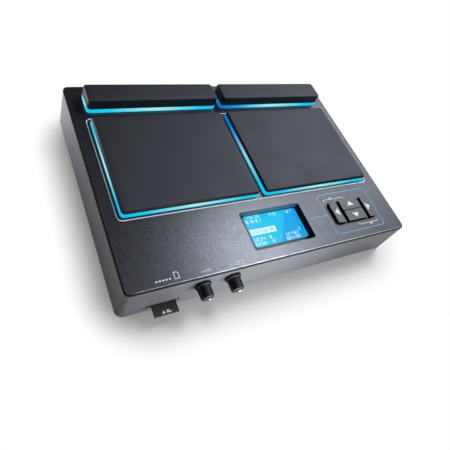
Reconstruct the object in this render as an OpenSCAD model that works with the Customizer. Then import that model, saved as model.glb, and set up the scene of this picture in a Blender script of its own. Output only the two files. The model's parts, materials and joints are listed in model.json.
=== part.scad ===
// Electronic percussion pad: a flat desk case with two large rubber pads, two raised
// rubber bars behind them, a lit ring round each, a recessed display, four buttons,
// two knobs and a memory card in the front wall, and sockets in the rear wall.
// X runs to the right, Y to the back and Z up. The origin lies on the underside of the
// case, at the centre of the four stand inserts.

/* [Pads and bars] */
// Width of each pad and bar over its light ring
pad_w = 150; // [130:1:170]
// Depth of each large pad over its light ring
pad_d = 117.5; // [100:0.5:140]
// Depth of each rear bar over its light ring
bar_d = 25.8; // [24:0.2:36]
// Gap between the left and the right light rings
pad_gap_x = 7; // [4:0.5:20]
// Gap between a large pad's ring and the bar behind it
pad_gap_y = 11.2; // [6:0.2:24]
// Height of a large pad's top above the panel
pad_rise = 8; // [7.5:0.1:12]
// Height of a bar's top above the panel
bar_rise = 16; // [10:0.5:20]
// Rounding of a large pad's top edge
pad_edge = 1; // [0.6:0.1:1.4]
// Rounding of a bar's top edge
bar_edge = 1.5; // [1:0.1:2.2]
// How far a struck pad gives
pad_travel = 0.5; // [0.3:0.1:0.8]
// Thickness of the rubber skirt round a strike plate
skirt_t = 2; // [1.5:0.1:3]
// Thickness of the foam cushion under a strike plate
cushion_t = 2.4; // [2.2:0.1:3]
// Thickness of a steel strike plate
strike_plate_t = 1.2; // [0.8:0.1:1.5]
// Diameter of a large pad's sensor disc
pad_sensor_d = 27; // [20:1:35]
// Diameter of a bar's sensor disc
bar_sensor_d = 9; // [7:0.5:10]
// Thickness of a sensor disc
sensor_t = 0.6; // [0.4:0.1:0.8]
// Diameter of the rubber anchor plugs
anchor_d = 5; // [4:0.2:6]
// Distance of the anchor plugs from the ends of a ring
anchor_in = 22; // [18:1:30]

/* [Light rings] */
// Height of a light ring above the panel
ring_h = 3.8; // [3.6:0.1:4.6]
// Wall of a light ring
ring_t = 1.2; // [1:0.1:1.6]
// Lean of a ring's outer face over its height
ring_lean = 0.2; // [0.1:0.1:0.6]
// Corner radius of a light ring
ring_r = 4; // [3.5:0.1:6]
// Width of the flange that carries a ring
flange_w = 5; // [4:0.2:6]
// Thickness of the flange that carries a ring
flange_t = 1; // [0.8:0.1:1.2]
// Width of the LED tape under the flange
tape_w = 3; // [2:0.2:3.6]
// Thickness of the LED tape
tape_t = 0.8; // [0.5:0.1:1]

/* [Case] */
// Height of the panel's top above the underside
case_h = 47; // [44:1:60]
// Margin between the case's sides and the rings
side_margin = 16.5; // [10:0.5:30]
// Margin between the case's back and the bars
rear_margin = 13; // [9:0.5:25]
// Margin between the case's front and the display
front_margin = 13.3; // [12:0.1:25]
// Gap between the display and the large pads
zone_gap = 15.2; // [12:0.2:30]
// Corner radius of the case at the panel
corner_r = 6; // [5:0.5:9]
// Lean of the case's walls over their height
case_draft = 1.5; // [0.5:0.1:3]
// Wall of the case at the panel
wall_t = 3; // [2.4:0.1:4]
// Floor of the case
floor_t = 2.5; // [2:0.1:4]
// Chamfer round the underside of the case
base_chamfer = 1.2; // [0.6:0.1:1.6]
// Thickness of the top panel
panel_t = 3; // [2.6:0.1:4]
// Thickness of the top panel's outer lip
lip_t = 0.8; // [0.6:0.1:1]
// Height of the shadow gap under the lip
reveal_h = 1.2; // [0.8:0.1:1.5]
// Depth of the shadow gap under the lip
reveal_in = 1.5; // [1:0.1:2]
// Diameter of the case screws
case_screw_d = 3; // [2.5:0.1:4]
// Distance of the case screws from the case's sides
case_screw_in = 11; // [10:0.5:14]
// Distance between the stand inserts from left to right
stand_x = 110; // [80:1:140]
// Distance between the stand inserts from front to back
stand_y = 75; // [50:1:90]
// Thread bore of the stand inserts
stand_bore_d = 4.2; // [3.2:0.1:5]
// Diameter of the rubber feet
foot_d = 18; // [12:1:24]
// Height of the rubber feet below the case
foot_h = 2.5; // [1.5:0.1:5]
// Distance of the rubber feet from the case's sides
foot_in = 28; // [18:1:40]

/* [Display and buttons] */
// Width of the display window
display_w = 77.2; // [60:0.2:84]
// Depth of the display window
display_d = 44; // [34:0.5:52]
// How far the display's cover lies below the panel
display_drop = 8.5; // [6:0.1:11]
// Distance from the second knob to the display
knob_to_display = 65; // [64:1:80]
// Distance from the display to the buttons
display_to_buttons = 105; // [100:1:120]
// Distance from the buttons to the case's right side
buttons_in = 63; // [56:1:80]
// Width of the left and right buttons
side_button_w = 11; // [9:0.5:13]
// Width of the up and down buttons
mid_button_w = 28; // [22:0.5:32]
// Depth of the up and down buttons
mid_button_d = 13.2; // [11:0.2:15]
// Gap between the up and down buttons
mid_button_gap = 1; // [0.8:0.1:1.6]
// Web of panel between neighbouring openings
button_web = 3.4; // [3:0.1:6]
// Running gap round each button
button_gap = 0.8; // [0.5:0.1:1]
// Height of the buttons above the panel
button_rise = 3.5; // [2:0.1:5]
// How far a button travels
button_travel = 0.8; // [0.4:0.1:1.2]

/* [Front wall] */
// Distance from the case's left side to the card
card_in = 41; // [39:1:60]
// Distance from the card to the first knob
card_to_knob = 34; // [32:1:45]
// Distance between the knobs
knob_pitch = 32; // [24:1:40]
// Distance of the knobs below the panel
knob_drop = 15.5; // [14:0.5:18]
// Diameter of a knob's flange
knob_flange_d = 16.5; // [15.5:0.5:20]
// Diameter of a knob at its flange
knob_d = 13.6; // [11:0.1:15]
// Length of a knob
knob_l = 14; // [12:0.5:20]
// Diameter of a control shaft
shaft_d = 6; // [5:0.5:6.5]
// Width of the memory card
card_w = 24; // [20:0.5:26]
// Length of the memory card
card_l = 32; // [28:0.5:36]
// Thickness of the memory card
card_t = 2.1; // [1.4:0.1:3]
// How far the memory card stands out of the wall
card_out = 11.7; // [8:0.1:14]
// Height of the memory card above the underside
card_z = 11; // [10:0.5:14]

/* [Rear wall] */
// Distance from the case's right side to the power inlet
rear_in = 36; // [32:1:60]
// Distance between neighbouring rear sockets
rear_pitch = 26; // [24:0.5:30]
// Bore of the jack sockets
jack_bore_d = 6.5; // [6.4:0.05:7]
// Length of the jack sockets behind the wall
jack_l = 28; // [24:1:34]
// Bore of the five-contact socket
din_bore_d = 13.6; // [12:0.1:14]
// Bore of the power inlet
inlet_bore_d = 6.3; // [5.5:0.1:7]
// How far the power button travels
power_travel = 2; // [1:0.1:2.5]
// Height of the main board's posts above the floor
main_post_h = 12; // [9:0.5:14]

/* [Boards and fits] */
// Thickness of the circuit boards
board_t = 1.6; // [1:0.1:2]
// Running gap between pieces that move past each other
run_gap = 0.3; // [0.2:0.05:0.4]
// Clearance between fixed pieces that fit into each other
fit_gap = 0.2; // [0.1:0.05:0.3]
// Radial clearance of shafts and screws in their bores
shaft_gap = 0.05; // [0.02:0.01:0.1]

/* [Hidden] */
$fn = 64;
panel_z = case_h;
underside_z = panel_z - panel_t;

// Level inside the panel to which the posts under it run
root_z = underside_z + panel_t / 3;

// Rim of the case and overall sizes
wall_top_z = panel_z - lip_t - reveal_h;
pads_row_w = 2 * side_margin + 2 * pad_w + pad_gap_x;
front_row_w = card_in + card_to_knob + knob_pitch + knob_to_display + display_to_buttons + buttons_in;
case_w = max(pads_row_w, front_row_w);
buttons_d = 2 * mid_button_d + mid_button_gap;
front_zone_d = max(display_d, buttons_d);
case_d = front_margin + front_zone_d + zone_gap + pad_d + pad_gap_y + bar_d + rear_margin;
inner_w = case_w - 2 * wall_t;
inner_d = case_d - 2 * wall_t;
inner_r = max(1, corner_r - wall_t);
front_y = -inner_d / 2;
rear_y = inner_d / 2;

// How far a cut runs past the face that it opens
over = 1;

// Places of the pads, counted from the front
pad_x = (pad_gap_x + pad_w) / 2;
pad_y = -case_d / 2 + front_margin + front_zone_d + zone_gap + pad_d / 2;
bar_y = pad_y + pad_d / 2 + pad_gap_y + bar_d / 2;

// Levels of the pad stack, above the panel
overhang_z = ring_h + pad_travel + run_gap;
strike_top_z = cushion_t + strike_plate_t;
skirt_in = ring_t + run_gap;
plate_in = skirt_in + skirt_t;
flange_in = ring_t + flange_w;
cushion_in = flange_in + fit_gap;
tape_in = ring_t + (flange_w - tape_w) / 2;
rubber_in = ring_lean + fit_gap;
pad_lean = 0.8;
bar_lean = 0.2;
edge_lean = 0.9;
anchor_head_t = 2;
anchor_head_lip = 1.7;
ceramic_in = 3;
sensor_room = 0.8;
least_r = 0.6;

// Case screws, feet and stand inserts
boss_wall = 2.5;
case_boss_r = case_screw_d / 2 + boss_wall;
case_boss_split_z = floor_t + main_post_h;
case_head_r = case_screw_d;
case_head_t = 2.2;
case_head_z = 0.8;
case_seat_z = case_head_z + case_head_t;
case_screw_grip = 9;
case_screw_l = case_boss_split_z - case_seat_z + case_screw_grip;
foot_seat = 0.8;
insert_wall = 1.4;
insert_r = stand_bore_d / 2 + insert_wall;
insert_l = 8;
stand_boss_z = insert_l + floor_t;

// Display stack, counted down from the panel
display_r = 2.5;
shroud_t = 1.6;
cover_t = 1;
glass_t = 2.8;
cover_z = panel_z - display_drop;
glass_z = cover_z - cover_t - glass_t;
display_board_z = glass_z - board_t;
glass_margin = 3;
board_screw_r = 1.1;
board_head_r = 2.2;
board_head_t = 1.5;
board_screw_l = 5;
board_boss_r = 2.9;
board_hole_in = board_boss_r + fit_gap;
display_board_w = display_w + 2 * glass_margin + 4 * board_hole_in + 2 * fit_gap;
display_board_d = display_d + 2 * glass_margin + 2 * board_hole_in;

// Button stack, counted down from the panel
button_lip = 1.2;
button_lip_t = 1.6;
button_lip_z = underside_z - run_gap - button_lip_t;
side_button_r = 4;
mid_button_r = 1;
stem_r = 1.7;
switch_w = 6;
switch_h = 3.5;
stem_grip = 1.5;
switch_gap = 1.6;
button_board_z = button_lip_z - button_travel - switch_gap - switch_h - board_t;
side_button_x = mid_button_w / 2 + 2 * button_gap + button_web + side_button_w / 2;
mid_button_y = (mid_button_d + mid_button_gap) / 2;
side_lip_w = side_button_w + 2 * button_gap + 2 * button_lip;
button_board_w = 2 * side_button_x + side_lip_w + 4 * board_hole_in;
button_board_d = buttons_d + 2 * button_gap + 2 * button_lip;

// Places along the front wall
card_x = -case_w / 2 + card_in;
knob_xs = [card_x + card_to_knob, card_x + card_to_knob + knob_pitch];
knob_z = panel_z - knob_drop;
display_x = knob_xs[1] + knob_to_display;
zone_y = -case_d / 2 + front_margin + front_zone_d / 2;
buttons_x = display_x + display_to_buttons;

// Controls
nut_t = 2;
thread_end = 0.6;
bush_wall = 0.6;
bush_r = shaft_d / 2 + bush_wall;
nut_wall = 2;
control_nut_r = bush_r + nut_wall;
control_spot_r = knob_flange_d / 2 + run_gap;
control_w = 12;
control_d = 8;
control_h = 13;
control_spot_y = -wall_out(knob_z + control_spot_r);
bush_tip_y = control_spot_y - nut_t - thread_end;
knob_y = control_spot_y - 2 * run_gap;
knob_flange_t = 2.6;
knob_lean = 0.4;
knob_edge = 0.8;
knob_recess_r = control_nut_r + run_gap;
knob_recess_t = knob_y - bush_tip_y + run_gap;
knob_cap_t = 2.5;
shaft_tip_y = knob_y - knob_l + knob_cap_t;
control_back_t = 1.5;
shaft_end_y = front_y + control_d - control_back_t;
control_board_w = knob_pitch + control_w;
control_board_edge = 2;
control_board_h = control_h + 2 * control_board_edge;

// Card socket
slot_side = 4.6;
slot_w = card_w + 2 * slot_side;
slot_h = card_t + 3 * run_gap;
card_y = -wall_out(card_z) - card_out;
socket_shell = 0.8;
socket_side = 2;
socket_w = card_w + 2 * run_gap + 2 * socket_side;
socket_h = card_t + 2 * run_gap + 2 * socket_shell;
socket_z = card_z - socket_h / 2;
socket_stop = 2;
card_corner = 4;
socket_end_y = card_y + card_l + run_gap + socket_stop;
card_board_z = socket_z - board_t;
card_board_w = socket_w + 4 * board_hole_in;

// Rear sockets
main_board_z = floor_t + main_post_h;
main_top_z = main_board_z + board_t;
jack_w = 15;
jack_h = 13;
jack_z = main_top_z + jack_h / 2;
jack_end_t = 2;
jack_nose_wall = 1.4;
jack_nose_r = jack_bore_d / 2 + jack_nose_wall;
jack_nut_r = jack_nose_r + nut_wall;
jack_spot_r = jack_nut_r + run_gap;
jack_spot_y = wall_out(jack_z + jack_spot_r);
jack_tip_y = jack_spot_y + nut_t + thread_end;
din_nose_wall = 1;
din_nose_r = din_bore_d / 2 + din_nose_wall;
din_edge = 2;
din_w = 2 * (din_nose_r + din_edge);
din_l = 14;
din_depth = 9;
din_z = main_top_z + din_w / 2;
din_contacts = 5;
din_contact_r = 0.9;
din_circle_r = 3.5;
din_step = 45;
din_contact_l = 4;
inlet_wall = 1.6;
inlet_w = inlet_bore_d + 2 * inlet_wall;
inlet_foot = 1;
inlet_h = inlet_w + inlet_foot;
inlet_l = 14;
inlet_depth = 10;
inlet_pin_r = 1;
inlet_z = main_top_z + inlet_h / 2;
switch_body_w = 13;
switch_body_l = 14;
switch_body_h = 11;
power_z = main_top_z + switch_body_h / 2;
power_w = 7.6;
power_h = 5.6;
power_collar = 1;
power_stem = 4;
power_out = 3.2;
power_collar_y = rear_y - run_gap - power_collar;
switch_body_y = power_collar_y - power_travel - run_gap - power_collar;
inlet_x = rear_x(0);
power_x = rear_x(1);
din_x = rear_x(2);
trigger_x = rear_x(3);
phones_x = rear_x(4);
right_out_x = rear_x(5);
left_out_x = rear_x(6);
jack_xs = [trigger_x, phones_x, right_out_x, left_out_x];
main_board_d = 52;
main_front_y = rear_y - fit_gap - main_board_d;
plug_w = 24;
plug_room = plug_w / 2 + 2 * board_hole_in;
main_left_x = min(left_out_x - rear_pitch / 2, display_x - plug_room);
main_right_x = max(inlet_x + rear_pitch / 2, display_x + plug_room);
chip_w = 14;
chip_t = 1.4;

// Ribbon cable from the display board to the main board
ribbon_w = 20;
ribbon_t = 0.8;
plug_d = 5;
plug_h = 6;
ribbon_front_y = zone_y + display_board_d / 2 - board_hole_in * 2 - plug_d;
ribbon_rise_y = main_front_y - 3 * ribbon_t;
ribbon_plug_y = main_front_y + plug_d;
ribbon_top_z = main_top_z + plug_h + ribbon_t;

// Distance of the leaning outer wall from the middle of the case, at a height
function wall_out(z) = case_d / 2 + case_draft * (1 - z / wall_top_z);

// Place of a rear socket, counted from the case's right side
function rear_x(i) = case_w / 2 - rear_in - i * rear_pitch;

// Four corners of a rectangle round a point
function corners(x, y, dx, dy) = [for (sx = [-1, 1], sy = [-1, 1]) [x + sx * dx, y + sy * dy]];

between_boards_x = (display_x + display_board_w / 2 + buttons_x - button_board_w / 2) / 2;
case_screw_x = case_w / 2 - case_screw_in;
case_screw_y = case_d / 2 - case_screw_in;
case_screws_at = concat(
    corners(0, 0, case_screw_x, case_screw_y),
    [[-case_screw_x, 0], [case_screw_x, 0]],
    [[between_boards_x, -case_screw_y], [left_out_x - rear_pitch, case_screw_y]]);
feet_at = corners(0, 0, case_w / 2 - foot_in, case_d / 2 - foot_in);
stand_at = corners(0, 0, stand_x / 2, stand_y / 2);
display_screws_at = corners(
    display_x, zone_y, display_board_w / 2 - board_hole_in, display_board_d / 2 - board_hole_in);
button_screws_at = corners(
    buttons_x, zone_y, button_board_w / 2 - board_hole_in, button_board_d / 2 - board_hole_in);
card_board_y = front_y + fit_gap;
card_board_d = socket_end_y - card_board_y + board_hole_in;
card_screws_at = [for (side = [-1, 1])
    [card_x + side * (card_board_w / 2 - board_hole_in), card_board_y + card_board_d - board_hole_in]];
main_screws_at = [for (x = [main_left_x + board_hole_in, main_right_x - board_hole_in])
    [x, main_front_y + board_hole_in]];

// Outline with round corners
module round_rect(w, d, r) {
    square([w - 2 * r, d], center = true);
    square([w, d - 2 * r], center = true);
    for (at = corners(0, 0, w / 2 - r, d / 2 - r)) translate(at) circle(r);
}

// Outline with round corners on its left side only
module half_round_rect(w, d, r) {
    round_rect(w, d, r);
    translate([w / 4, 0]) square([w / 2, d], center = true);
}

// Plate with round corners
module slab(w, d, h, r) {
    linear_extrude(h) round_rect(w, d, r);
}

// Cross-section of a plate of width w whose sides pass through steps of [inset, height]
function side_profile(w, steps) = concat(
    [for (step = steps) [w / 2 - step[0], step[1]]],
    [for (i = [len(steps) - 1 : -1 : 0]) [steps[i][0] - w / 2, steps[i][1]]]);

// Plate with round corners whose sides pass through steps of [inset, height]
module profiled(w, d, r, steps) {
    bottom_z = steps[0][1];
    top_z = steps[len(steps) - 1][1];
    rotate([90, 0, 0]) linear_extrude(d - 2 * r, center = true) polygon(side_profile(w, steps));
    rotate([90, 0, 90]) linear_extrude(w - 2 * r, center = true) polygon(side_profile(d, steps));
    for (at = corners(0, 0, w / 2 - r, d / 2 - r)) translate(at) rotate_extrude()
        polygon(concat([[0, bottom_z]], [for (step = steps) [r - step[0], step[1]]], [[0, top_z]]));
}

// Cylinder along Y that starts at y and runs to the back
module rod_y(x, y, z, r, l) {
    translate([x, y, z]) rotate([-90, 0, 0]) cylinder(h = l, r = r);
}

// Block given by its middle in X, its start in Y and its middle in Z
module block_y(x, y, z, w, l, h) {
    translate([x - w / 2, y, z - h / 2]) cube([w, l, h]);
}

// Hexagon nut along Y that starts at y
module nut_y(x, y, z, r, bore_r) {
    difference() {
        translate([x, y, z]) rotate([-90, 0, 0]) cylinder(h = nut_t, r = r, $fn = 6);
        rod_y(x, y - over, z, bore_r + shaft_gap, nut_t + 2 * over);
    }
}

// Column with a blind screw hole in its free end
module post(at, z, h, r, hole_r, hole_z, hole_l) {
    difference() {
        translate([at[0], at[1], z]) cylinder(h = h, r = r);
        translate([at[0], at[1], hole_z]) cylinder(h = hole_l, r = hole_r);
    }
}

// Places of the rubber anchor plugs under a pad or bar of depth d
function anchors(d) = d > 3 * anchor_in
    ? corners(0, 0, pad_w / 2 - anchor_in, d / 2 - anchor_in)
    : [[-(pad_w / 2 - anchor_in), 0], [pad_w / 2 - anchor_in, 0]];

// Lower case
module case_outside() {
    lean = case_draft * (1 - base_chamfer / wall_top_z);
    profiled(case_w + 2 * lean, case_d + 2 * lean, corner_r + lean,
        [[base_chamfer, 0], [0, base_chamfer], [lean, wall_top_z]]);
}

module front_wall_holes() {
    for (x = knob_xs) {
        rod_y(x, -wall_out(0), knob_z, control_spot_r, wall_out(0) + control_spot_y);
        rod_y(x, -wall_out(0), knob_z, bush_r + fit_gap, wall_t + case_draft + over);
    }
    block_y(card_x, -wall_out(0), card_z, slot_w, wall_t + case_draft + over, slot_h);
}

module rear_wall_holes() {
    hole_y = rear_y - over;
    hole_l = wall_t + case_draft + over;
    for (x = jack_xs) {
        rod_y(x, jack_spot_y, jack_z, jack_spot_r, case_draft + over);
        rod_y(x, hole_y, jack_z, jack_nose_r + fit_gap, hole_l);
    }
    rod_y(din_x, hole_y, din_z, din_nose_r + fit_gap, hole_l);
    block_y(power_x, hole_y, power_z, power_w + 2 * run_gap, hole_l, power_h + 2 * run_gap);
    block_y(inlet_x, hole_y, inlet_z, inlet_w + 2 * fit_gap, hole_l, inlet_h + 2 * fit_gap);
}

module lower_case() {
    color("#4a4b50") difference() {
        union() {
            difference() {
                case_outside();
                translate([0, 0, floor_t]) slab(inner_w, inner_d, case_h, inner_r);
                front_wall_holes();
                rear_wall_holes();
            }
            for (at = case_screws_at) translate([at[0], at[1], floor_t / 2])
                cylinder(h = case_boss_split_z - floor_t / 2, r = case_boss_r);
            for (at = stand_at) translate([at[0], at[1], floor_t / 2])
                cylinder(h = stand_boss_z - floor_t / 2, r = insert_r + boss_wall);
            for (at = main_screws_at) translate([at[0], at[1], floor_t / 2])
                cylinder(h = main_board_z - floor_t / 2, r = board_boss_r);
            for (at = card_screws_at) translate([at[0], at[1], floor_t / 2])
                cylinder(h = card_board_z - floor_t / 2, r = board_boss_r);
        }
        for (at = case_screws_at) translate(at) {
            translate([0, 0, -over])
                cylinder(h = case_boss_split_z + 2 * over, r = case_screw_d / 2 + fit_gap);
            translate([0, 0, -over]) cylinder(h = case_seat_z + over, r = case_head_r + fit_gap);
        }
        for (at = stand_at) translate([at[0], at[1], -over]) cylinder(h = insert_l + over, r = insert_r);
        for (at = feet_at) translate([at[0], at[1], -over])
            cylinder(h = foot_seat + over, r = foot_d / 2 + fit_gap);
        for (at = main_screws_at) translate([at[0], at[1], main_board_z - board_screw_l])
            cylinder(h = board_screw_l + over, r = board_screw_r + shaft_gap);
        for (at = card_screws_at) translate([at[0], at[1], card_board_z - board_screw_l])
            cylinder(h = board_screw_l + over, r = board_screw_r + shaft_gap);
    }
}

// Top panel
module panel_plate() {
    edge = lip_t / 2;
    core_w = case_w - 2 * reveal_in;
    core_d = case_d - 2 * reveal_in;
    profiled(case_w, case_d, corner_r, [[0, panel_z - lip_t], [0, panel_z - edge], [edge, panel_z]]);
    translate([0, 0, wall_top_z])
        slab(core_w, core_d, panel_z - edge - wall_top_z, corner_r - reveal_in);
    translate([0, 0, underside_z])
        slab(inner_w - 2 * fit_gap, inner_d - 2 * fit_gap, panel_z - edge - underside_z, inner_r);
}

// Everything cut into the panel for one pad or bar of depth d
module pad_cuts(x, y, d) {
    translate([x, y, panel_z - tape_t]) linear_extrude(tape_t + over) difference() {
        round_rect(pad_w - 2 * tape_in, d - 2 * tape_in, least_r);
        square([pad_w - 2 * tape_in - 2 * tape_w, d - 2 * tape_in - 2 * tape_w], center = true);
    }
    for (at = anchors(d)) translate([x + at[0], y + at[1], underside_z - over])
        cylinder(h = panel_t + 2 * over, r = anchor_d / 2 + run_gap);
}

module button_outlines(grow) {
    for (side = [-1, 1]) translate([-side * side_button_x, 0]) mirror([side < 0 ? 1 : 0, 0])
        half_round_rect(side_button_w + 2 * grow, buttons_d + 2 * grow, side_button_r + grow);
}

module top_panel() {
    color("#56585e") {
        difference() {
            panel_plate();
            for (side = [-1, 1]) {
                pad_cuts(side * pad_x, pad_y, pad_d);
                pad_cuts(side * pad_x, bar_y, bar_d);
            }
            translate([display_x, zone_y, underside_z - over])
                slab(display_w, display_d, panel_t + 2 * over, display_r);
            translate([buttons_x, zone_y, underside_z - over]) linear_extrude(panel_t + 2 * over) {
                button_outlines(button_gap);
                round_rect(mid_button_w + 2 * button_gap, buttons_d + 2 * button_gap, mid_button_r);
            }
        }
        translate([display_x, zone_y, cover_z]) linear_extrude(root_z - cover_z) difference() {
            round_rect(display_w + 2 * shroud_t, display_d + 2 * shroud_t, display_r + shroud_t);
            round_rect(display_w, display_d, display_r);
        }
        for (at = case_screws_at) post(at, case_boss_split_z, root_z - case_boss_split_z, case_boss_r,
            case_screw_d / 2 + shaft_gap, case_boss_split_z - over, case_screw_grip + 2 * over);
        for (at = display_screws_at) post(at, glass_z, root_z - glass_z, board_boss_r,
            board_screw_r + shaft_gap, glass_z - over, board_screw_l + over);
        for (at = button_screws_at) {
            top = button_board_z + board_t;
            post(at, top, root_z - top, board_boss_r, board_screw_r + shaft_gap, top - over,
                board_screw_l + over);
        }
    }
}

// Fasteners, inserts and feet
module rubber_feet() {
    color("#1c1c1e") for (at = feet_at) translate([at[0], at[1], -foot_h]) {
        cylinder(h = foot_h + foot_seat, r = foot_d / 2);
    }
}

module case_screws() {
    color("#2a2a2c") for (at = case_screws_at) translate([at[0], at[1], case_head_z]) {
        cylinder(h = case_head_t, r = case_head_r);
        cylinder(h = case_head_t + case_screw_l, r = case_screw_d / 2);
    }
}

module stand_inserts() {
    color("#b08d4a") for (at = stand_at) translate(at) difference() {
        cylinder(h = insert_l, r = insert_r);
        translate([0, 0, -over]) cylinder(h = insert_l + 2 * over, r = stand_bore_d / 2);
    }
}

module board_screw() {
    translate([0, 0, -board_head_t]) {
        cylinder(h = board_head_t, r = board_head_r);
        cylinder(h = board_head_t + board_t + board_screw_l - over, r = board_screw_r);
    }
}

module board_screws() {
    color("#8d8f94") {
        for (at = display_screws_at) translate([at[0], at[1], display_board_z]) board_screw();
        for (at = button_screws_at) translate([at[0], at[1], button_board_z]) board_screw();
        for (at = main_screws_at) translate([at[0], at[1], main_top_z]) mirror([0, 0, 1]) board_screw();
        for (at = card_screws_at) translate([at[0], at[1], card_board_z + board_t]) mirror([0, 0, 1])
            board_screw();
    }
}

// Pad stack, each piece about the middle of its ring and above the panel
module rubber(d, rise, edge, lean) {
    difference() {
        union() {
            profiled(pad_w - 2 * rubber_in, d - 2 * rubber_in, ring_r - rubber_in, [[0, overhang_z],
                [lean, rise - edge], [lean + edge * edge_lean, rise]]);
            translate([0, 0, cushion_t]) slab(pad_w - 2 * skirt_in, d - 2 * skirt_in,
                overhang_z + run_gap - cushion_t, ring_r - skirt_in);
        }
        translate([0, 0, cushion_t - over])
            slab(pad_w - 2 * plate_in, d - 2 * plate_in, strike_plate_t + over, least_r);
    }
    anchor_z = -panel_t - run_gap - anchor_head_t;
    for (at = anchors(d)) translate([at[0], at[1], anchor_z]) {
        cylinder(h = strike_top_z + run_gap - anchor_z, r = anchor_d / 2);
        cylinder(h = anchor_head_t, r = anchor_d / 2 + anchor_head_lip);
    }
}

module strike_plate(d) {
    translate([0, 0, cushion_t]) difference() {
        slab(pad_w - 2 * plate_in, d - 2 * plate_in, strike_plate_t, least_r);
        for (at = anchors(d)) translate([at[0], at[1], -over])
            cylinder(h = strike_plate_t + 2 * over, r = anchor_d / 2 + shaft_gap);
    }
}

module sensor(disc_d) {
    translate([0, 0, cushion_t - sensor_t / 2]) cylinder(h = sensor_t / 2, r = disc_d / 2);
    translate([0, 0, cushion_t - sensor_t]) cylinder(h = sensor_t, r = disc_d / 2 - ceramic_in);
}

module cushion(d, disc_d) {
    difference() {
        slab(pad_w - 2 * cushion_in, d - 2 * cushion_in, cushion_t, least_r);
        translate([0, 0, -over]) cylinder(h = cushion_t + 2 * over, r = disc_d / 2 + sensor_room);
        for (at = anchors(d)) translate([at[0], at[1], -over])
            cylinder(h = cushion_t + 2 * over, r = anchor_d / 2 + run_gap);
    }
}

module ring(d) {
    difference() {
        profiled(pad_w, d, ring_r, [[0, 0], [ring_lean, ring_h]]);
        translate([0, 0, flange_t]) slab(pad_w - 2 * ring_t, d - 2 * ring_t, ring_h, ring_r - ring_t);
        translate([0, 0, -over]) slab(pad_w - 2 * flange_in, d - 2 * flange_in, ring_h + 2 * over, least_r);
    }
}

module at_pad(side) {
    translate([side * pad_x, pad_y, panel_z]) children();
}

module at_bar(side) {
    translate([side * pad_x, bar_y, panel_z]) children();
}

module left_pad_rubber() { color("#323338") at_pad(-1) rubber(pad_d, pad_rise, pad_edge, pad_lean); }
module left_pad_plate() { color("#9a9ca0") at_pad(-1) strike_plate(pad_d); }
module left_pad_sensor() { color("#c9a24a") at_pad(-1) sensor(pad_sensor_d); }
module left_pad_cushion() { color("#222226") at_pad(-1) cushion(pad_d, pad_sensor_d); }
module left_pad_ring() { color("#35d6f2") at_pad(-1) ring(pad_d); }
module right_pad_rubber() { color("#323338") at_pad(1) rubber(pad_d, pad_rise, pad_edge, pad_lean); }
module right_pad_plate() { color("#9a9ca0") at_pad(1) strike_plate(pad_d); }
module right_pad_sensor() { color("#c9a24a") at_pad(1) sensor(pad_sensor_d); }
module right_pad_cushion() { color("#222226") at_pad(1) cushion(pad_d, pad_sensor_d); }
module right_pad_ring() { color("#35d6f2") at_pad(1) ring(pad_d); }
module left_bar_rubber() { color("#323338") at_bar(-1) rubber(bar_d, bar_rise, bar_edge, bar_lean); }
module left_bar_plate() { color("#9a9ca0") at_bar(-1) strike_plate(bar_d); }
module left_bar_sensor() { color("#c9a24a") at_bar(-1) sensor(bar_sensor_d); }
module left_bar_cushion() { color("#222226") at_bar(-1) cushion(bar_d, bar_sensor_d); }
module left_bar_ring() { color("#35d6f2") at_bar(-1) ring(bar_d); }
module right_bar_rubber() { color("#323338") at_bar(1) rubber(bar_d, bar_rise, bar_edge, bar_lean); }
module right_bar_plate() { color("#9a9ca0") at_bar(1) strike_plate(bar_d); }
module right_bar_sensor() { color("#c9a24a") at_bar(1) sensor(bar_sensor_d); }
module right_bar_cushion() { color("#222226") at_bar(1) cushion(bar_d, bar_sensor_d); }
module right_bar_ring() { color("#35d6f2") at_bar(1) ring(bar_d); }

// LED tape in its groove, under the flange of a ring of depth d
module tape(d) {
    translate([0, 0, -tape_t]) linear_extrude(tape_t) difference() {
        round_rect(pad_w - 2 * tape_in, d - 2 * tape_in, least_r);
        square([pad_w - 2 * tape_in - 2 * tape_w, d - 2 * tape_in - 2 * tape_w], center = true);
    }
}

module led_tapes() {
    color("#e8e6d8") for (side = [-1, 1]) {
        at_pad(side) tape(pad_d);
        at_bar(side) tape(bar_d);
    }
}

// Display
module display_cover() {
    color("#9fd8ee") translate([display_x, zone_y, cover_z - cover_t])
        slab(display_w + 2 * glass_margin, display_d + 2 * glass_margin, cover_t, least_r);
}

module display_glass() {
    color("#1fb4ec") translate([display_x, zone_y, glass_z])
        slab(display_w + 2 * glass_margin, display_d + 2 * glass_margin, glass_t, least_r);
}

module drilled_board(x, y, z, w, d, holes) {
    difference() {
        translate([x - w / 2, y - d / 2, z]) cube([w, d, board_t]);
        for (at = holes) translate([at[0], at[1], z - over])
            cylinder(h = board_t + 2 * over, r = board_screw_r + fit_gap);
    }
}

module display_board() {
    color("#1e5b3a") drilled_board(
        display_x, zone_y, display_board_z, display_board_w, display_board_d, display_screws_at);
}

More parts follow.
